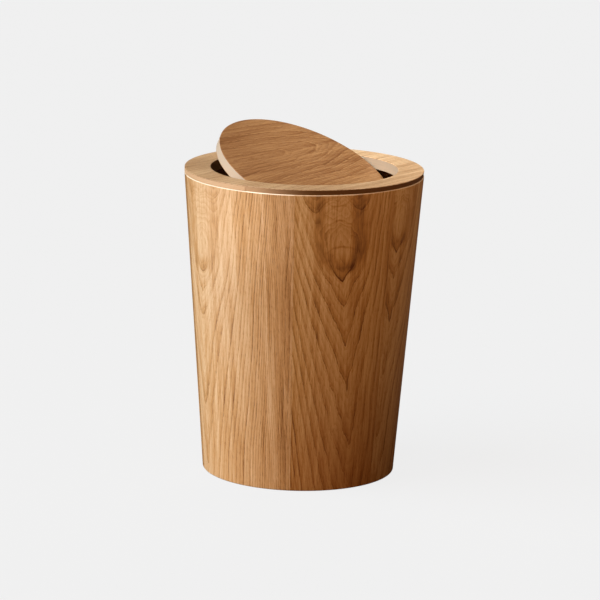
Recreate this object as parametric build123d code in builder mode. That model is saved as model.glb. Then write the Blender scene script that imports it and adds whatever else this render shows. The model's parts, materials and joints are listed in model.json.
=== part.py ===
from build123d import *
import os
from math import cos, radians, sin, tan

# Wastebasket of bent, veneered plywood, with a lift-off lid ring and a disc that swings in it.
# Frame: origin at the centre of the foot, +Z up, +X along the flap's pivot. Millimetres.

# Shell: a tapered tube made of face veneer, plywood and lining veneer.
foot_radius = 97.1
mouth_radius = 120.1
shell_height = 303.9
face_veneer = 0.6
shell_ply = 3.0
lining = 0.5
edge_ease = 1.0
leaf_starts = {"left": 141.0, "front": 213.9, "right": 266.6, "rear": 326.0}
leaf_gap = 0.05

# Base panel: a plywood disc let in above the foot.
base_rise = 6.0
base_thickness = 6.0
glue_line = 0.05

# Lid ring: an upper ring on the rim, and a locating ring inside the mouth.
seat_gap = 0.1
ring_radius = 120.0
opening_radius = 94.0
ring_thickness = 5.0
locator_depth = 5.9
locator_clearance = 0.6
ring_veneer = 0.6
edge_band = 0.6
ring_lipping = 1.2
lipping_undercut = 0.9
veneer_ease = 0.3
leaf_joint_y = -20.0

# Flap: a disc on two pins, tilted as it stands.
flap_gap = 1.8
flap_thickness = 10.4
flap_veneer = 0.6
flap_tilt = 25.3
pivot_height = 303.0

# Pivot hardware: steel pins in plain bushes.
pin_radius = 2.0
pin_in_flap = 20.0
pin_in_ring = 13.0
pin_chamfer = 0.4
running_clearance = 0.05
bush_radius = 3.5
bush_length = 14.0
shoulder_radius = 4.5
shoulder_proud = 0.8
push_fit = 0.02

# Screws from beneath, through the locating ring into the upper ring.
screw_count = 6
screw_first_angle = 30.0
screw_circle = 105.0
screw_radius = 1.5
screw_length = 8.6
head_radius = 2.8
head_angle = 90.0
cross_slot = (2.6, 0.6)
cross_depth = 0.9

# Worked out from the driving dimensions.
wall = face_veneer + shell_ply + lining
ring_bottom = shell_height + seat_gap
ring_top = ring_bottom + ring_thickness
ring_core_top = ring_top - ring_veneer
locator_bottom = ring_bottom - locator_depth
flap_radius = opening_radius - flap_gap
core_half = flap_thickness / 2 - flap_veneer
pivot_axis = Axis((0, 0, pivot_height), (1, 0, 0))
flap_plane = Plane(
    origin=(0, 0, pivot_height),
    x_dir=(1, 0, 0),
    z_dir=(0, -sin(radians(flap_tilt)), cos(radians(flap_tilt))),
)
flap_normal = Axis(flap_plane.origin, flap_plane.z_dir)
sides = {"left": -1, "right": 1}


def wall_radius(height):
    """Outer radius of the shell at a height above the floor."""
    return foot_radius + (mouth_radius - foot_radius) * height / shell_height


def radial_plane(angle):
    """Upright plane through the Z axis, its own X pointing outward at an angle in degrees."""
    turn = radians(angle)
    return Plane(origin=(0, 0, 0), x_dir=(cos(turn), sin(turn), 0), z_dir=(sin(turn), -cos(turn), 0))


def side_plane(x):
    """Plane across the pivot axis at a distance x, facing away from the middle."""
    return Plane(origin=(x, 0, pivot_height), x_dir=(0, 1, 0), z_dir=(1 if x > 0 else -1, 0, 0))


def shell_layer(outer_depth, inner_depth, bottom, start=0.0, sweep=360.0):
    """One layer of the shell wall, between two depths below its outside, with eased edges."""
    with BuildPart() as layer:
        with BuildSketch(radial_plane(start)):
            with BuildLine():
                Polyline(
                    (foot_radius - wall, 0),
                    (foot_radius, 0),
                    (mouth_radius, shell_height),
                    (mouth_radius - wall, shell_height),
                    close=True,
                )
            make_face()
            foot_corner = vertices().group_by(Axis.Y)[0].sort_by(Axis.X)[-1]
            rim_corner = vertices().group_by(Axis.Y)[-1].sort_by(Axis.X)[-1]
            fillet([foot_corner, rim_corner], radius=edge_ease)
            with BuildLine():
                Polyline(
                    (wall_radius(bottom) - inner_depth, bottom),
                    (wall_radius(bottom) - outer_depth, bottom),
                    (mouth_radius - outer_depth, shell_height),
                    (mouth_radius - inner_depth, shell_height),
                    close=True,
                )
            make_face(mode=Mode.INTERSECT)
        revolve(axis=Axis.Z, revolution_arc=sweep)
    return layer.part


def pivot_bore(radius, inner_x, outer_x):
    """Two round cutters on the pivot axis, one each side, from inner_x out to outer_x."""
    with BuildPart() as bore:
        for side in sides.values():
            with BuildSketch(side_plane(side * inner_x)):
                Circle(radius)
            extrude(amount=outer_x - inner_x)
    return bore.part


def flat_ring(outer, inner, bottom, top):
    """A plain ring about the Z axis."""
    with BuildPart() as ring:
        with BuildSketch(Plane.XY.offset(bottom)):
            Circle(outer)
            Circle(inner, mode=Mode.SUBTRACT)
        extrude(amount=top - bottom)
    return ring.part


parts = {}

# The bent plywood wall, the node that stands on the floor.
with BuildPart() as shell_core:
    add(shell_layer(face_veneer, face_veneer + shell_ply, bottom=0))
parts["shell_core"] = shell_core

# Leaves of face veneer round the outside, butted edge to edge.
leaf_names = list(leaf_starts)
for index, leaf_name in enumerate(leaf_names):
    next_leaf = leaf_names[(index + 1) % len(leaf_names)]
    leaf_sweep = (leaf_starts[next_leaf] - leaf_starts[leaf_name]) % 360
    with BuildPart() as face_leaf:
        add(shell_layer(0, face_veneer, 0, leaf_starts[leaf_name], leaf_sweep - leaf_gap))
    parts[f"face_leaf_{leaf_name}"] = face_leaf

# The base panel, its edge tapered to the wall.
base_top = base_rise + base_thickness
with BuildPart() as base_panel:
    with BuildSketch(Plane.XZ):
        with BuildLine():
            Polyline(
                (0, base_rise),
                (wall_radius(base_rise) - face_veneer - shell_ply - glue_line, base_rise),
                (wall_radius(base_top) - face_veneer - shell_ply - glue_line, base_top),
                (0, base_top),
                close=True,
            )
        make_face()
    revolve(axis=Axis.Z)
parts["base_panel"] = base_panel

# The lining stands on the base panel.
with BuildPart() as lining_veneer:
    add(shell_layer(face_veneer + shell_ply, wall, bottom=base_top))
parts["lining_veneer"] = lining_veneer

# The upper ring lies on the rim. Half of each bush pocket is in it.
bush_pocket = pivot_bore(bush_radius + push_fit, opening_radius, opening_radius + bush_length)
with BuildPart() as ring_core:
    add(flat_ring(ring_radius - ring_lipping, opening_radius + edge_band, ring_bottom, ring_core_top))
    add(bush_pocket, mode=Mode.SUBTRACT)
    with BuildSketch(Plane.XY.offset(ring_bottom)):
        with PolarLocations(screw_circle, screw_count, start_angle=screw_first_angle):
            Circle(screw_radius + push_fit)
    extrude(amount=screw_length + locator_bottom - ring_bottom, mode=Mode.SUBTRACT)
parts["ring_core"] = ring_core

# The locating ring drops inside the mouth, its outside tapered like the wall.
locator_foot = wall_radius(locator_bottom) - wall - locator_clearance
locator_head = wall_radius(shell_height) - wall - locator_clearance
with BuildPart() as locating_ring:
    with BuildSketch(Plane.XZ):
        with BuildLine():
            Polyline(
                (opening_radius + edge_band, locator_bottom),
                (locator_foot, locator_bottom),
                (locator_head, ring_bottom),
                (opening_radius + edge_band, ring_bottom),
                close=True,
            )
        make_face()
    revolve(axis=Axis.Z)
    add(bush_pocket, mode=Mode.SUBTRACT)
    with Locations(Plane(origin=(0, 0, locator_bottom), x_dir=(1, 0, 0), z_dir=(0, 0, -1))):
        with PolarLocations(screw_circle, screw_count, start_angle=screw_first_angle):
            CounterSinkHole(
                screw_radius + push_fit,
                head_radius + push_fit,
                depth=locator_depth,
                counter_sink_angle=head_angle,
            )
parts["locating_ring"] = locating_ring

# Two leaves of face veneer on the ring, their joint in line with the grain.
joint_plane = Plane.XZ.offset(-leaf_joint_y)
for leaf_name, kept_side in {"front": Keep.TOP, "rear": Keep.BOTTOM}.items():
    with BuildPart() as ring_leaf:
        add(flat_ring(ring_radius, opening_radius, ring_core_top, ring_top))
        split(bisect_by=joint_plane, keep=kept_side)
        chamfer(edges().filter_by(GeomType.CIRCLE).group_by(Axis.Z)[-1], length=veneer_ease)
    parts[f"ring_leaf_{leaf_name}"] = ring_leaf

# Two edge bands round the ring, joined where the leaves are. The front one is undercut.
for band_name, kept_side, undercut in (
    ("front", Keep.TOP, lipping_undercut),
    ("rear", Keep.BOTTOM, 0.0),
):
    with BuildPart() as ring_band:
        with BuildSketch(Plane.XZ):
            with BuildLine():
                Polyline(
                    (ring_radius - ring_lipping, ring_bottom),
                    (ring_radius - undercut, ring_bottom),
                    (ring_radius, ring_core_top),
                    (ring_radius - ring_lipping, ring_core_top),
                    close=True,
                )
            make_face()
        revolve(axis=Axis.Z)
        split(bisect_by=joint_plane, keep=kept_side)
    parts[f"ring_band_{band_name}"] = ring_band

# The band that lines the opening, with a hole for each bush's shoulder.
with BuildPart() as opening_band:
    add(flat_ring(opening_radius + edge_band, opening_radius, locator_bottom, ring_core_top))
    add(
        pivot_bore(shoulder_radius + push_fit, opening_radius - edge_band, ring_radius),
        mode=Mode.SUBTRACT,
    )
parts["opening_band"] = opening_band

# Shouldered bushes, sandwiched between the two rings.
shoulder_start = opening_radius - shoulder_proud
for hand, side in sides.items():
    with BuildPart() as bush:
        with BuildSketch(Plane.XZ):
            with BuildLine():
                Polyline(
                    (side * shoulder_start, pivot_height + pin_radius + running_clearance),
                    (side * shoulder_start, pivot_height + shoulder_radius),
                    (side * (opening_radius + push_fit), pivot_height + shoulder_radius),
                    (side * (opening_radius + push_fit), pivot_height + bush_radius),
                    (side * (opening_radius + bush_length), pivot_height + bush_radius),
                    (
                        side * (opening_radius + bush_length),
                        pivot_height + pin_radius + running_clearance,
                    ),
                    close=True,
                )
            make_face()
        revolve(axis=pivot_axis)
    parts[f"bush_{hand}"] = bush

# One screw, then the set of them round the ring.
head_height = (head_radius - screw_radius) / tan(radians(head_angle / 2))
with BuildPart() as screw:
    with BuildSketch(Plane.XZ):
        with BuildLine():
            Polyline(
                (0, locator_bottom),
                (head_radius, locator_bottom),
                (screw_radius, locator_bottom + head_height),
                (screw_radius, locator_bottom + screw_length - screw_radius),
                (0, locator_bottom + screw_length),
                close=True,
            )
        make_face()
    revolve(axis=Axis.Z)
    with BuildSketch(Plane.XY.offset(locator_bottom)):
        Rectangle(*cross_slot)
        Rectangle(*reversed(cross_slot))
    extrude(amount=cross_depth, mode=Mode.SUBTRACT)
with BuildPart() as ring_screws:
    with PolarLocations(screw_circle, screw_count, start_angle=screw_first_angle):
        add(screw.part)
parts["ring_screws"] = ring_screws

# The flap: a plywood disc, blind-bored at each end of its pivot.
pin_hole = pivot_bore(pin_radius + push_fit, flap_radius - pin_in_flap, ring_radius)
with BuildPart() as flap_core:
    with BuildSketch(flap_plane.offset(-core_half)):
        Circle(flap_radius - edge_band)
    extrude(amount=2 * core_half)
    add(pin_hole, mode=Mode.SUBTRACT)
parts["flap_core"] = flap_core

with BuildPart() as flap_edge_band:
    with BuildSketch(flap_plane.offset(-core_half)):
        Circle(flap_radius)
        Circle(flap_radius - edge_band, mode=Mode.SUBTRACT)
    extrude(amount=2 * core_half)
    add(pin_hole, mode=Mode.SUBTRACT)
parts["flap_edge_band"] = flap_edge_band

# Two leaves of face veneer on top of the flap, joined in line with the ring's.
flap_joint = Plane(
    origin=flap_plane.from_local_coords((0, leaf_joint_y, 0)),
    x_dir=(1, 0, 0),
    z_dir=-flap_plane.y_dir,
)
for leaf_name, kept_side in {"front": Keep.TOP, "rear": Keep.BOTTOM}.items():
    with BuildPart() as flap_leaf:
        with BuildSketch(flap_plane.offset(core_half)):
            Circle(flap_radius)
        extrude(amount=flap_veneer)
        split(bisect_by=flap_joint, keep=kept_side)
        top_face = faces().filter_by(GeomType.PLANE).sort_by(flap_normal)[-1]
        chamfer(top_face.edges().filter_by(GeomType.CIRCLE), length=veneer_ease)
    parts[f"flap_leaf_{leaf_name}"] = flap_leaf

with BuildPart() as flap_back_veneer:
    with BuildSketch(flap_plane.offset(-core_half - flap_veneer)):
        Circle(flap_radius)
    extrude(amount=flap_veneer)
    under_face = faces().filter_by(GeomType.PLANE).sort_by(flap_normal)[0]
    chamfer(under_face.edges(), length=veneer_ease)
parts["flap_back_veneer"] = flap_back_veneer

# Steel pins, fast in the flap and free in the bushes.
for hand, side in sides.items():
    with BuildPart() as pivot_pin:
        with BuildSketch(side_plane(side * (flap_radius - pin_in_flap))):
            Circle(pin_radius)
        extrude(amount=pin_in_flap + flap_gap + pin_in_ring)
        chamfer(edges().filter_by(GeomType.CIRCLE), length=pin_chamfer)
    parts[f"pivot_pin_{hand}"] = pivot_pin

os.makedirs("parts", exist_ok=True)
for node_name, piece in parts.items():
    piece.part.label = node_name
    export_step(piece.part, f"parts/{node_name}.step")
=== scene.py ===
import json
from math import atan2, cos, pi, radians, sin

import bpy
from mathutils import Matrix, Vector


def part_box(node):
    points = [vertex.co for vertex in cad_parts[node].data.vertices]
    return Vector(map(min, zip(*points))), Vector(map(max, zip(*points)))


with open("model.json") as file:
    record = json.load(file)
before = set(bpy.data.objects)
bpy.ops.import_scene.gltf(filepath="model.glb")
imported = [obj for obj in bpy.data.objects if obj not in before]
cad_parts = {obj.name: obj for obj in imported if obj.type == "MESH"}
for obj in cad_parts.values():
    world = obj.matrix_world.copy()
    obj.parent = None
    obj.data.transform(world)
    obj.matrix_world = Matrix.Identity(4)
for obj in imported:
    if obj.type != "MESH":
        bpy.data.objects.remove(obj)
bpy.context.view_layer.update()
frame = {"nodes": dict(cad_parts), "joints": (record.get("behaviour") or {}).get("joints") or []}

MM = 0.001
nodes = frame["nodes"]
swing = next(joint for joint in frame["joints"] if joint["name"] == "flap_swing")
pivot_height = swing["pos_m"][2] / MM
shell_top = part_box("shell_core")[1]
rim_height = shell_top.z / MM


# --- Shader maths -------------------------------------------------------------------------------

class Value:
    """A shader output that takes part in arithmetic. Each expression adds its Math nodes."""

    def __init__(self, recipe, socket):
        self.recipe = recipe
        self.socket = socket

    def __add__(self, other):
        return self.recipe.math("ADD", self, other)

    def __sub__(self, other):
        return self.recipe.math("SUBTRACT", self, other)

    def __rsub__(self, other):
        return self.recipe.math("SUBTRACT", other, self)

    def __mul__(self, other):
        return self.recipe.math("MULTIPLY", self, other)

    def __truediv__(self, other):
        return self.recipe.math("DIVIDE", self, other)

    def __rtruediv__(self, other):
        return self.recipe.math("DIVIDE", other, self)

    def __pow__(self, other):
        return self.recipe.math("POWER", self, other)

    __radd__ = __add__
    __rmul__ = __mul__


class Recipe:
    """Nodes being put together in one node tree."""

    def __init__(self, tree):
        self.tree = tree

    def node(self, kind, settings=None, sockets=None, output=0):
        """Add a node: its settings first, then values or links for its sockets."""
        made = self.tree.nodes.new(kind)
        for name, setting in (settings or {}).items():
            if name == "stops":
                self.set_stops(made.color_ramp, setting)
            else:
                setattr(made, name, setting)
        for name, value in (sockets or {}).items():
            self.feed(made.inputs[name], value)
        return Value(self, made.outputs[output])

    def feed(self, socket, value):
        if isinstance(value, Value):
            self.tree.links.new(value.socket, socket)
        else:
            socket.default_value = value

    @staticmethod
    def set_stops(ramp, stops):
        for spare in list(ramp.elements)[1:]:
            ramp.elements.remove(spare)
        ramp.elements[0].position, ramp.elements[0].color = stops[0]
        for position, shade in stops[1:]:
            ramp.elements.new(position).color = shade

    def math(self, operation, *values):
        sockets = dict(enumerate(values))
        return self.node("ShaderNodeMath", {"operation": operation}, sockets)

    def length(self, first, second):
        """Length of the line to a point, from its distances along two square axes."""
        return self.math("SQRT", first * first + second * second)

    def bell(self, value, width):
        """1 where value is 0, falling away on both sides like a bell of that width."""
        share = value / width
        return self.math("EXPONENT", share * share * -1.0)

    def clamp(self, value):
        return self.node("ShaderNodeClamp", {}, {"Value": value, "Min": 0.0, "Max": 1.0})

    def step(self, value, start, end):
        """0 at start, 1 at end, and a soft turn between them."""
        settings = {"interpolation_type": "SMOOTHSTEP"}
        sockets = {"Value": value, "From Min": start, "From Max": end}
        return self.node("ShaderNodeMapRange", settings, sockets)

    def noise(self, x, y, seed=0.0, detail=2.0, roughness=0.5):
        """Smooth noise from 0 to 1 over two stretched coordinates."""
        sockets = {
            "Vector": self.node("ShaderNodeCombineXYZ", {}, {"X": x, "Y": y, "Z": seed}),
            "Scale": 1.0,
            "Detail": detail,
            "Roughness": roughness,
        }
        return self.node("ShaderNodeTexNoise", {"normalize": True}, sockets)

    def mix(self, factor, first, second, blend="MIX"):
        """Blend two colours. Among a Mix node's sockets, 6 and 7 take colours and 2 gives one."""
        settings = {"data_type": "RGBA", "blend_type": blend}
        return self.node("ShaderNodeMix", settings, {0: factor, 6: first, 7: second}, output=2)

    def place(self):
        """The surface point in millimetres, as three values."""
        spot = self.node("ShaderNodeTexCoord", output="Object")
        split = self.node("ShaderNodeSeparateXYZ", {}, {"Vector": spot})
        return [Value(self, output) * (1.0 / MM) for output in split.socket.node.outputs]

    def bump(self, height, strength, distance):
        """Relief from a height of 0 to 1, over a distance in millimetres."""
        sockets = {"Height": height, "Strength": strength, "Distance": distance * MM}
        return self.node("ShaderNodeBump", {}, sockets)


class Finish(Recipe):
    """A material put together round one Principled shader."""

    def __init__(self, name):
        self.material = bpy.data.materials.new(name)
        self.material.use_nodes = True
        super().__init__(self.material.node_tree)
        self.shader = self.tree.nodes["Principled BSDF"]

    def surface(self, **sockets):
        """Set the shader's sockets, named with underscores for spaces."""
        for name, value in sockets.items():
            self.feed(self.shader.inputs[name.replace("_", " ")], value)
        return self.material


def colour(red, green, blue):
    return (red, green, blue, 1.0)


def wear(node_names, material):
    """Give a finish to the CAD nodes of those names."""
    for name in node_names:
        for slot in nodes[name].material_slots:
            slot.material = material


# --- Wood ---------------------------------------------------------------------------------------

class Figure:
    """How a leaf was cut. Lengths are in millimetres. Darkness adds to the tone, and where it is
    negative the wood is paler there."""

    def __init__(self, **facts):
        self.seed = 0.0
        self.axis = 0.0          # across the leaf, where the cathedrals point
        self.lean = 0.0          # drift of that axis, per millimetre along the leaf
        self.tip = 217.0         # along the leaf, where the boldest tip lies
        self.pitch = 25.0        # from that tip to the next
        self.growth = 4.0        # how much longer each pitch gets
        self.eye = 60.0          # length of the closed eye past the boldest tip
        self.saddle = 68.0       # how far past that tip the next eye starts
        self.deep = 1.1          # rings inside an eye
        self.spread = 16.0       # ring spacing beside the axis
        self.crowd = 60000.0     # how slowly the rings close up away from it
        self.bluntness = 0.8     # radius of a tip
        self.wander = 5.0        # slow drift of the grain
        self.ripple = 0.45       # unevenness of a ring near the axis, in rings
        self.fan = 1.05          # ring spacing of the arms past the tip, in pitches
        self.curl = 0.14         # waviness of the rings past the tip, in rings
        self.heart = 0.40        # darkness of the crisp line of the boldest tip
        self.bold = 0.75         # darkness of the soft band round the eye
        self.arches = ()         # thin lines across the eye: how far past the tip, how bent
        self.arch = 0.26         # darkness of those lines
        self.tail = 0.56         # darkness of the late wood
        self.line = 0.28         # darkness of the crisp line that ends a ring
        self.inner_rings = 0.16  # darkness of the faint rings between the ring lines
        self.streak = 0.70       # narrow streaks along the leaf
        self.board = 0.55        # broad streaks along the leaf
        self.fibre = 0.70        # single fibres
        self.pore = 0.32         # darkness of the pores
        self.ground = 0.10       # tone of plain wood
        for name, fact in facts.items():
            setattr(self, name, fact)


class Leaf:
    """A leaf of veneer while its finish is worked out: where the surface point lies on it."""

    eye_reach = 22.0         # half the width of an eye
    eye_surround = 36.0      # how far from the axis the wood beside an eye is calmer
    bowl_top = 42.0          # past the tip, where the eye's sides run straight
    bowl_depth = 30.0        # how far below that its round end reaches

    def __init__(self, f, across, along, figure):
        self.f = f
        self.across = across
        self.along = along
        self.figure = figure
        self.slow = self.patches(70.0, 130.0, 0.0, detail=1.0) - 0.5
        self.ripple = self.patches(12.0, 24.0, 3.0, detail=1.5) - 0.5
        drift = (along - figure.tip) * figure.lean
        wander = self.slow * (2.0 * figure.wander)
        self.offset = across - figure.axis - drift + wander
        self.past = f.math("MAXIMUM", along - figure.tip, 0.0)
        self.past_tip = f.step(self.past, 4.0, 20.0)

    def patches(self, width, length, draw, detail=2.0, roughness=0.5):
        """Smooth noise from 0 to 1 in patches of a width and length. Each draw differs."""
        x = self.across / width
        y = self.along / length
        return self.f.noise(x, y, self.figure.seed + draw, detail, roughness)

    def rings(self):
        """Growth rings counted outward from the cathedral axis, and how many to a millimetre."""
        f, figure = self.f, self.figure
        below = f.math("MAXIMUM", figure.tip - self.along, 0.0)
        root = f.math("SQRT", below * (4.0 * figure.growth) + figure.pitch**2)
        near_axis = f.bell(self.offset, self.eye_reach)
        folded = f.math("PINGPONG", self.past, figure.saddle)
        eyes = f.math("SINE", folded * (pi / figure.eye)) * figure.deep
        fan = self.past / (figure.pitch * figure.fan)
        above = eyes * near_axis + fan * (1.0 - near_axis)
        depth = (root - figure.pitch) / (2.0 * figure.growth) - above

        reach = f.math("SQRT", self.offset * self.offset + figure.bluntness**2)
        crowding = reach * reach / figure.crowd
        rings = reach / figure.spread + reach * crowding + depth + self.slow
        unevenness = (near_axis * 0.5 + 0.25) * (2.0 * figure.ripple)
        curl = self.patches(16.0, 26.0, 4.0, detail=0.0) - 0.5
        waviness = self.past_tip * (2.0 * figure.curl)
        rings = rings + self.ripple * unevenness + curl * waviness

        across_slope = crowding * 3.0 + 1.0 / figure.spread
        slope = f.math("SQRT", across_slope * across_slope + figure.pitch**-2)
        return rings, slope

    def calm(self):
        """1 in plain wood, and less beside an eye, where the ring lines fade."""
        nearby = self.f.bell(self.offset, self.eye_surround) * self.past_tip
        return 1.0 - nearby * 0.72

    def eye_marks(self, rings):
        """Darkness of the band round the eye, of the crisp line of its tip and of its arches."""
        f, figure = self.f, self.figure
        bowl = f.math("MAXIMUM", self.bowl_top - self.past, 0.0) / self.bowl_depth
        girth = f.length(self.offset / self.eye_reach, bowl)
        smudge = self.patches(7.0, 16.0, 21.0) * 1.3 - 0.12
        band = f.bell(girth - 1.0, 0.30) * smudge * f.step(self.past, 2.0, 14.0)
        crisp = f.bell(rings + 0.05, 0.079) * f.bell(self.along - (figure.tip + 4.0), 8.0)
        marks = band * figure.bold + crisp * figure.heart
        sway = self.past + self.ripple * 9.0
        for height, bend in figure.arches:
            rise = sway - height + self.offset * self.offset / bend
            marks = marks + f.bell(rise, 1.1) * f.bell(self.offset, 12.25) * figure.arch
        return marks

    def grain(self):
        """Tone of the leaf, 0 pale to 1 dark, with its pores, ring lines and fibres."""
        f, figure = self.f, self.figure
        plain_rings, slope = self.rings()
        calm = self.calm()
        fray = self.patches(1.0, 26.0, 4.0) - 0.5
        rings = plain_rings + fray * calm * 0.16
        late = f.math("FRACT", rings)
        gap = (1.0 - late) / slope

        own_strength = f.noise(f.math("FLOOR", rings) * 3.7, figure.seed + 9.0, detail=0.0)
        strength = f.step(own_strength, 0.25, 0.7) * 0.7 + 0.3
        patchy = f.step(self.patches(7.0, 110.0, 19.0), 0.3, 0.65) * 0.75 + 0.35
        shade = f.math("EXPONENT", gap * -0.28) * 0.65 + (late ** 1.9) * 0.42
        tail = shade * strength * patchy * calm

        pore_row = f.step(self.patches(0.8, 9.0, 5.0, detail=1.0), 0.35, 0.6)
        line = (1.0 - f.step(gap, 0.3, 1.6)) * strength * pore_row * calm
        inner_rings = f.math("FRACT", rings * 3.0 + self.patches(6.0, 90.0, 7.0)) ** 2.0
        fine = self.patches(0.5, 6.0, 11.0, roughness=0.6)
        pores = f.step(fine, 0.55, 0.68) * (0.4 + late * 0.6)
        fibre = self.patches(0.95, 34.0, 13.0, detail=3.0, roughness=0.7) - 0.5
        streak = self.patches(3.0, 150.0, 15.0, detail=3.0, roughness=0.6) - 0.5
        board = self.patches(16.0, 300.0, 17.0, detail=1.0) - 0.5

        tone = tail * figure.tail + line * figure.line + inner_rings * figure.inner_rings
        tone = tone + pores * figure.pore + self.eye_marks(plain_rings)
        tone = tone + fibre * figure.fibre + streak * figure.streak + board * figure.board
        tone = tone + self.slow * 0.15 + figure.ground
        return f.clamp(tone), pores, line, fibre


def veneer(name, coordinates, figure, tones, accent=None, roughness=0.40, coat=0.12, specular=0.5):
    """A lacquered veneer. coordinates gives a point's place across the leaf and along it."""
    f = Finish(name)
    across, along = coordinates(f)
    tone, pores, line, fibre = Leaf(f, across, along, figure).grain()
    pale, mid, dark = tones
    stops = [(0.0, pale), (0.42, mid), (1.0, dark)]
    wood = f.node("ShaderNodeValToRGB", {"stops": stops}, {"Fac": tone})
    if accent:
        wood = accent(f, wood)
    relief = fibre * 0.5 - line * 0.6 - pores * 0.8
    return f.surface(
        Base_Color=wood,
        Roughness=pores * 0.15 + fibre * 0.12 + roughness,
        Normal=f.bump(relief, 0.35, 0.12),
        Specular_IOR_Level=specular,
        Coat_Weight=coat,
        Coat_Roughness=0.28,
    )


def leaf_middle(node_name):
    """The direction, about the vertical axis, in which a shell leaf's middle faces."""
    mesh = nodes[node_name].data
    east = sum(vertex.co.x for vertex in mesh.vertices)
    north = sum(vertex.co.y for vertex in mesh.vertices)
    return atan2(north, east)


def round_the_shell(facing):
    """Leaf coordinates on the shell: round it from the way the leaf faces, and up it."""

    def coordinates(f):
        x, y, z = f.place()
        ahead = x * cos(facing) + y * sin(facing)
        aside = y * cos(facing) - x * sin(facing)
        angle = f.math("ARCTAN2", aside, ahead)
        return angle * f.length(x, y), z

    return coordinates


def along_the_pivot(tilt=0.0, way=1.0):
    """Leaf coordinates on a flat piece whose grain runs with the pivot, either way along it."""

    def coordinates(f):
        x, y, z = f.place()
        across = y * cos(tilt) + (z - pivot_height) * sin(tilt)
        return across, x * way

    return coordinates


def round_an_edge(tilt=0.0):
    """Coordinates on an edge band: through its thickness, and along it."""

    def coordinates(f):
        x, y, z = f.place()
        lift = z - pivot_height
        flat_y = y * cos(tilt) + lift * sin(tilt)
        depth = lift * cos(tilt) - y * sin(tilt)
        angle = f.math("ARCTAN2", flat_y, x)
        return depth, angle * f.length(x, flat_y)

    return coordinates


def flap_tilt():
    """How far the flap stands turned at rest, from its largest face."""
    face = max(nodes["flap_leaf_rear"].data.polygons, key=lambda polygon: polygon.area)
    upward = face.normal if face.normal.z > 0 else -face.normal
    return atan2(-upward.y, upward.z)


tilt = flap_tilt()


def rim_highlight_and_foot_shade(highlight_and_sanding, foot_shade):
    """The shell's eased rim, paler as sanded wood and a painted highlight, and painted shade towards
    the foot.
    """
    ease_start = rim_height - 1.15
    ease_end = rim_height - 0.75
    # Painted highlight on the eased rim, over paler sanded wood; strongest on the lit left leaf.
    sanded_wood_and_highlight = colour(0.95, 0.86, 0.72)
    # Painted shade towards the foot, least on the lit left leaf.
    foot_shade_top = 150.0
    painted_foot_shade = colour(0.62, 0.40, 0.16)

    def accent(f, wood):
        height = f.place()[2]
        highlight_and_sanding_mask = f.step(height, ease_start, ease_end)
        low = f.step(height, foot_shade_top, 0.0)
        wood = f.mix(low * foot_shade, wood, painted_foot_shade, "MULTIPLY")
        return f.mix(highlight_and_sanding_mask * highlight_and_sanding, wood, sanded_wood_and_highlight)

    return accent


# The left leaf, on the lit side, is paler than the others: partly its own tone, partly painted
# light.
left_tones_with_painted_light = (colour(0.82, 0.60, 0.375), colour(0.59, 0.335, 0.138), colour(0.17, 0.062, 0.014))
shell_tones = (colour(0.81, 0.575, 0.31), colour(0.53, 0.28, 0.090), colour(0.13, 0.042, 0.006))
front_arches = ((36.0, 45.0), (60.0, 30.0), (76.0, -30.0))
shell_figures = {
    "front": Figure(seed=2.0, axis=-3.0, lean=-0.09, arches=front_arches),
    "left": Figure(
        seed=31.0, axis=-40.0, lean=0.03, tip=207.0, spread=12.0, bluntness=5.0, wander=3.0,
        bold=0.42, heart=0.25, tail=0.46,
    ),
    "right": Figure(
        seed=57.0, axis=-48.0, tip=236.0, pitch=30.0, spread=17.0, bold=0.5, heart=0.3,
    ),
    "rear": Figure(seed=83.0, axis=12.0, lean=0.02, tip=180.0),
}
# Per leaf: strength of the painted rim highlight, then of the painted shade towards the foot.
rim_highlights_and_foot_shades = {
    "front": rim_highlight_and_foot_shade(0.45, 0.65),
    "left": rim_highlight_and_foot_shade(0.9, 0.15),
    "right": rim_highlight_and_foot_shade(0.45, 0.35),
    "rear": rim_highlight_and_foot_shade(0.6, 0.3),
}
for side, figure in shell_figures.items():
    node_name = f"face_leaf_{side}"
    coordinates = round_the_shell(leaf_middle(node_name))
    tones = left_tones_with_painted_light if side == "left" else shell_tones
    finish = veneer(f"{node_name}_finish", coordinates, figure, tones, rim_highlights_and_foot_shades[side])
    wear([node_name], finish)

ring_tones = (colour(0.84, 0.63, 0.395), colour(0.59, 0.38, 0.205), colour(0.22, 0.10, 0.04))
ring_cut = {
    "pitch": 60.0,
    "growth": 6.0,
    "spread": 9.0,
    "crowd": 90000.0,
    "tip": 300.0,
    "wander": 9.0,
}
ring_figures = {
    "front": Figure(seed=12.0, axis=10.0, **ring_cut),
    "rear": Figure(seed=16.0, axis=30.0, **ring_cut),
}


def duller_before(start, end, dull):
    """Wood that is duller before start, along the pivot's line, and clear after end."""

    def accent(f, wood):
        clear = f.step(f.place()[0], start, end)
        return f.mix(1.0 - clear, wood, dull, "MULTIPLY")

    return accent


oiled = {"roughness": 0.48, "coat": 0.04, "specular": 0.3}
ring_accent = duller_before(-100.0, 100.0, colour(0.60, 0.56, 0.52))
for side, figure in ring_figures.items():
    name = f"ring_leaf_{side}"
    finish = veneer(f"{name}_finish", along_the_pivot(), figure, ring_tones, ring_accent, **oiled)
    wear([name], finish)

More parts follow.
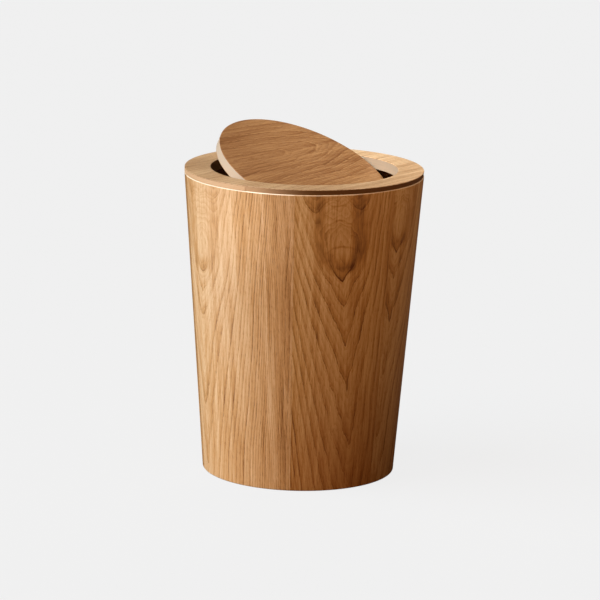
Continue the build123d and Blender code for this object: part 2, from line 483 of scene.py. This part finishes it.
flap_tones = (colour(0.51, 0.288, 0.126), colour(0.285, 0.126, 0.045), colour(0.08, 0.028, 0.009))
flap_accent = duller_before(-70.0, 90.0, colour(0.80, 0.76, 0.72))
flap_figure = Figure(
    seed=21.0, axis=33.0, tip=-41.0, pitch=25.0, growth=8.0, spread=12.0, crowd=90000.0,
    bluntness=5.0, eye=200.0, saddle=220.0, fan=3.0, wander=3.0, ripple=0.3,
    bold=0.0, heart=-0.3, tail=0.45, line=-0.9, pore=0.24, streak=0.80,
)
for name in ("flap_leaf_front", "flap_leaf_rear", "flap_back_veneer"):
    coordinates = along_the_pivot(tilt, -1.0)
    finish = veneer(f"{name}_finish", coordinates, flap_figure, flap_tones, flap_accent, **oiled)
    wear([name], finish)

lining_tones = (colour(0.52, 0.30, 0.15), colour(0.34, 0.18, 0.08), colour(0.16, 0.07, 0.03))
lining_figure = Figure(seed=44.0, axis=15.0)
lining_finish = veneer("lining_finish", round_the_shell(0.0), lining_figure, lining_tones)
wear(["lining_veneer"], lining_finish)


def edge_band(name, coordinates, pale, dark, stain=None):
    """A band of wood on edge: long fibres with faint pores. stain darkens it along its length, as a
    darker stain with painted shade.
    """
    f = Finish(name)
    depth, along = coordinates(f)
    fibre = f.noise(depth / 0.5, along / 30.0, 4.0, 3.0, 0.6)
    streak = f.noise(depth / 2.5, along / 120.0, 8.0)
    pores = f.step(f.noise(depth / 0.25, along / 3.5, 6.0), 0.58, 0.72)
    tone = f.clamp((fibre - 0.3) * 0.8 + (streak - 0.5) * 0.6 + pores * 0.3)
    wood = f.mix(tone, pale, dark)
    # Painted shade, with a darker stain, deepening along the band.
    if stain:
        start, end, stained_and_shaded = stain
        wood = f.mix(f.step(along, start, end), wood, stained_and_shaded, "MULTIPLY")
    return f.surface(
        Base_Color=wood,
        Roughness=pores * 0.12 + 0.45,
        Normal=f.bump(fibre - pores, 0.25, 0.08),
    )


cream = colour(0.42, 0.36, 0.285)
flap_cream = colour(0.48, 0.415, 0.345)
honey = colour(0.60, 0.45, 0.30)
lipping_pale = colour(0.64, 0.43, 0.26)
lipping_brown = colour(0.47, 0.285, 0.15)
band_joint = (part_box("ring_leaf_front")[1].x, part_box("ring_leaf_rear")[0].y)
band_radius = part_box("ring_leaf_rear")[1].x / MM
stain_and_shade_start = atan2(band_joint[1], -band_joint[0]) * band_radius
stain_and_shade_run = 75.0
# Painted shade on the front lipping band, deepening forwards from its joint, together with a darker
# stain.
lipping_stain_and_shade = (stain_and_shade_start, stain_and_shade_start + stain_and_shade_run, colour(0.26, 0.19, 0.10))
lipping = (round_an_edge(), lipping_pale, lipping_brown)
wear(["opening_band"], edge_band("opening_band_finish", round_an_edge(), cream, honey))
wear(["flap_edge_band"], edge_band("flap_band_finish", round_an_edge(tilt), flap_cream, honey))
wear(["ring_band_rear"], edge_band("ring_band_rear_finish", *lipping))
wear(["ring_band_front"], edge_band("ring_band_front_finish", *lipping, lipping_stain_and_shade))


ply_thickness = 1.0


def plywood(name, coordinates):
    """Plywood seen on edge: plies that show long grain and end grain by turns."""
    f = Finish(name)
    depth, along = coordinates(f)
    ply = f.math("PINGPONG", depth, ply_thickness)
    end_grain = f.step(ply, 0.45, 0.55)
    long_fibre = f.noise(depth / 0.3, along / 20.0, 3.0) - 0.5
    cells = f.noise(depth / 0.25, along / 0.4, 5.0)
    speckle = (cells - 0.5) * end_grain
    tone = f.clamp(end_grain * 0.45 + long_fibre * 0.5 + speckle * 0.8 + 0.2)
    return f.surface(
        Base_Color=f.mix(tone, colour(0.68, 0.50, 0.31), colour(0.36, 0.22, 0.11)),
        Roughness=0.62 + cells * 0.15,
        Normal=f.bump(cells, 0.3, 0.1),
    )


unrolled_radius = 118.0


def through_the_wall(f):
    """Coordinates in the shell's wall: out from the middle, and round it or up it."""
    x, y, z = f.place()
    return f.length(x, y), f.math("ARCTAN2", y, x) * unrolled_radius + z


wear(["shell_core", "base_panel"], plywood("shell_ply_finish", through_the_wall))
wear(["ring_core", "locating_ring"], plywood("ring_ply_finish", round_an_edge()))
wear(["flap_core"], plywood("flap_ply_finish", round_an_edge(tilt)))


# --- Pins, screws and bushes --------------------------------------------------------------------

dull_steel = colour(0.30, 0.29, 0.27)


def turned_metal(name, tint, roughness):
    """Metal with fine turning marks along its axis."""
    f = Finish(name)
    x, y, z = f.place()
    marks = f.noise(x / 0.08, (y + z) / 4.0, 2.0)
    stain = f.noise(x / 3.0, y / 2.0 + z / 2.0, 7.0, 3.0)
    return f.surface(
        Base_Color=f.mix(stain, tint, dull_steel),
        Metallic=1.0,
        Roughness=roughness + (marks - 0.5) * 0.2,
        Normal=f.bump(marks, 0.2, 0.02),
    )


wear(["pivot_pin_left", "pivot_pin_right"], turned_metal("pin_steel", colour(0.62, 0.61, 0.59), 0.3))
wear(["ring_screws"], turned_metal("screw_zinc", colour(0.72, 0.66, 0.48), 0.35))


def nylon():
    """Plain nylon, faintly mottled."""
    f = Finish("bush_nylon")
    x, y, z = f.place()
    mottle = f.noise(x / 1.5, y / 1.5 + z / 1.5, 1.0, 3.0)
    return f.surface(
        Base_Color=f.mix(mottle, colour(0.78, 0.75, 0.66), colour(0.66, 0.62, 0.52)),
        Roughness=0.45 + mottle * 0.1,
        Normal=f.bump(mottle, 0.1, 0.03),
    )


wear(["bush_left", "bush_right"], nylon())

# --- Studio -------------------------------------------------------------------------------------

camera_turn = radians(-51.8)
camera_rise = radians(12.683)
camera_roll = radians(1.267)
camera_distance = 3.4723
camera_right = Vector((cos(camera_turn), sin(camera_turn), 0.0))
camera_back = Vector((
    sin(camera_turn) * cos(camera_rise),
    -cos(camera_turn) * cos(camera_rise),
    sin(camera_rise),
))
camera_up = camera_back.cross(camera_right)
aim_aside = -0.0015
aim_height = 0.1729
aim = camera_right * aim_aside + Vector((0.0, 0.0, aim_height))

camera_data = bpy.data.cameras.new("camera")
camera_data.sensor_width = 36.0
camera_data.lens = 206.17
camera = bpy.data.objects.new("camera", camera_data)
bpy.context.scene.collection.objects.link(camera)
rolled_right = camera_right * cos(camera_roll) + camera_up * sin(camera_roll)
rolled_up = camera_up * cos(camera_roll) - camera_right * sin(camera_roll)
axes = Matrix((rolled_right, rolled_up, camera_back)).transposed().to_4x4()
camera.matrix_world = Matrix.Translation(aim + camera_back * camera_distance) @ axes
bpy.context.scene.camera = camera


def turned(azimuth, elevation=0.0):
    """Unit vector towards a place given from the camera's right-hand side, anticlockwise."""
    heading = camera_turn + radians(azimuth)
    rise = radians(elevation)
    return Vector((cos(heading) * cos(rise), sin(heading) * cos(rise), sin(rise)))


def hang(light_data, towards_light, location=(0.0, 0.0, 0.0)):
    """Put a light in the studio, shining back along towards_light."""
    light = bpy.data.objects.new(light_data.name, light_data)
    light.location = location
    light.rotation_mode = "QUATERNION"
    light.rotation_quaternion = towards_light.to_track_quat("Z", "Y")
    bpy.context.scene.collection.objects.link(light)
    return light


def sun(name, azimuth, elevation, strength, angle, tint, glossy=True):
    """A soft, even light from a direction. Without glossy it leaves no sheen."""
    data = bpy.data.lights.new(name, "SUN")
    data.energy = strength
    data.angle = radians(angle)
    data.color = tint
    light = hang(data, turned(azimuth, elevation))
    light.visible_glossy = glossy


def panel(name, azimuth, reach, height, width, power, tint):
    """A soft panel beside the object, aimed at the middle of its mouth."""
    data = bpy.data.lights.new(name, "AREA")
    data.size = width
    data.energy = power
    data.color = tint
    mouth = Vector((0.0, 0.0, shell_top.z))
    location = turned(azimuth) * reach + Vector((0.0, 0.0, height))
    light = hang(data, location - mouth, location)
    light.visible_camera = False


def soft_spot(name, azimuth, reach, height, cone, power):
    """A soft pool of light on the wall under the rim."""
    data = bpy.data.lights.new(name, "SPOT")
    data.energy = power
    data.spot_size = radians(cone)
    data.spot_blend = 1.0
    data.shadow_soft_size = 0.05
    just_under_the_rim = shell_top.z * 0.93
    wall = turned(azimuth) * shell_top.x + Vector((0.0, 0.0, just_under_the_rim))
    location = turned(azimuth) * reach + Vector((0.0, 0.0, height))
    hang(data, location - wall, location)


cool_white = (0.88, 0.97, 0.98)
warm_white = (1.0, 0.94, 0.84)
dusk = (1.0, 0.90, 0.78)
amber = (1.0, 0.53, 0.22)
ember = (1.0, 0.44, 0.10)
sky = (0.6, 0.85, 1.0)

sun("key", azimuth=194.0, elevation=46.0, strength=4.5, angle=50.0, tint=cool_white)
sun("warm", azimuth=232.0, elevation=28.0, strength=1.15, angle=50.0, tint=ember)
sun("rear", azimuth=95.0, elevation=14.0, strength=1.2, angle=40.0, tint=dusk, glossy=False)
panel("warm_panel", azimuth=-32.0, reach=0.44, height=0.34, width=0.3, power=0.27, tint=amber)
panel("lid_panel", azimuth=5.0, reach=0.32, height=0.88, width=0.3, power=1.05, tint=warm_white)
panel("side_card", azimuth=186.0, reach=0.55, height=0.12, width=0.4, power=0.45, tint=sky)
soft_spot("pool", azimuth=241.0, reach=0.9, height=0.42, cone=8.0, power=11.0)

# The surround and the floor are seen as plain pale paper. What they send to the object is much
# less, and warm, so that its shaded side stays deep.
fill_tint = colour(0.085, 0.036, 0.012)
paper_white = colour(0.871, 0.871, 0.871)
paper_glow = 0.952
paper_shade = colour(0.0325, 0.0336, 0.0364)
floor_return = colour(0.04, 0.02, 0.01)
floor_radius = 12.0


def pale_to_the_eye(recipe, lighting, seen):
    """Mix of two shaders: lighting lights the object, and seen is what is seen directly."""
    seen_directly = recipe.node("ShaderNodeLightPath", output="Is Camera Ray")
    return recipe.node("ShaderNodeMixShader", {}, {0: seen_directly, 1: lighting, 2: seen})


world = bpy.data.worlds.new("studio")
bpy.context.scene.world = world
world.use_nodes = True
room = Recipe(world.node_tree)
fill = room.tree.nodes["Background"]
fill.inputs["Color"].default_value = fill_tint
surround = room.node("ShaderNodeBackground", {}, {"Color": paper_white})
backdrop = pale_to_the_eye(room, Value(room, fill.outputs[0]), surround)
room.feed(room.tree.nodes["World Output"].inputs["Surface"], backdrop)

bpy.ops.mesh.primitive_circle_add(vertices=96, radius=floor_radius, fill_type="NGON")
floor = bpy.context.object
floor.name = "floor"
paper = Finish("floor_paper")
floor.data.materials.append(paper.surface(Base_Color=floor_return, Roughness=0.9))
glow = paper.node("ShaderNodeEmission", {}, {"Color": paper_white, "Strength": paper_glow})
shaded = paper.node("ShaderNodeBsdfDiffuse", {}, {"Color": paper_shade})
sheet = paper.node("ShaderNodeAddShader", {}, {0: glow, 1: shaded})
lighting = Value(paper, paper.shader.outputs[0])
ground = pale_to_the_eye(paper, lighting, sheet)
paper.feed(paper.tree.nodes["Material Output"].inputs["Surface"], ground)

bpy.context.scene.view_settings.view_transform = "Standard"
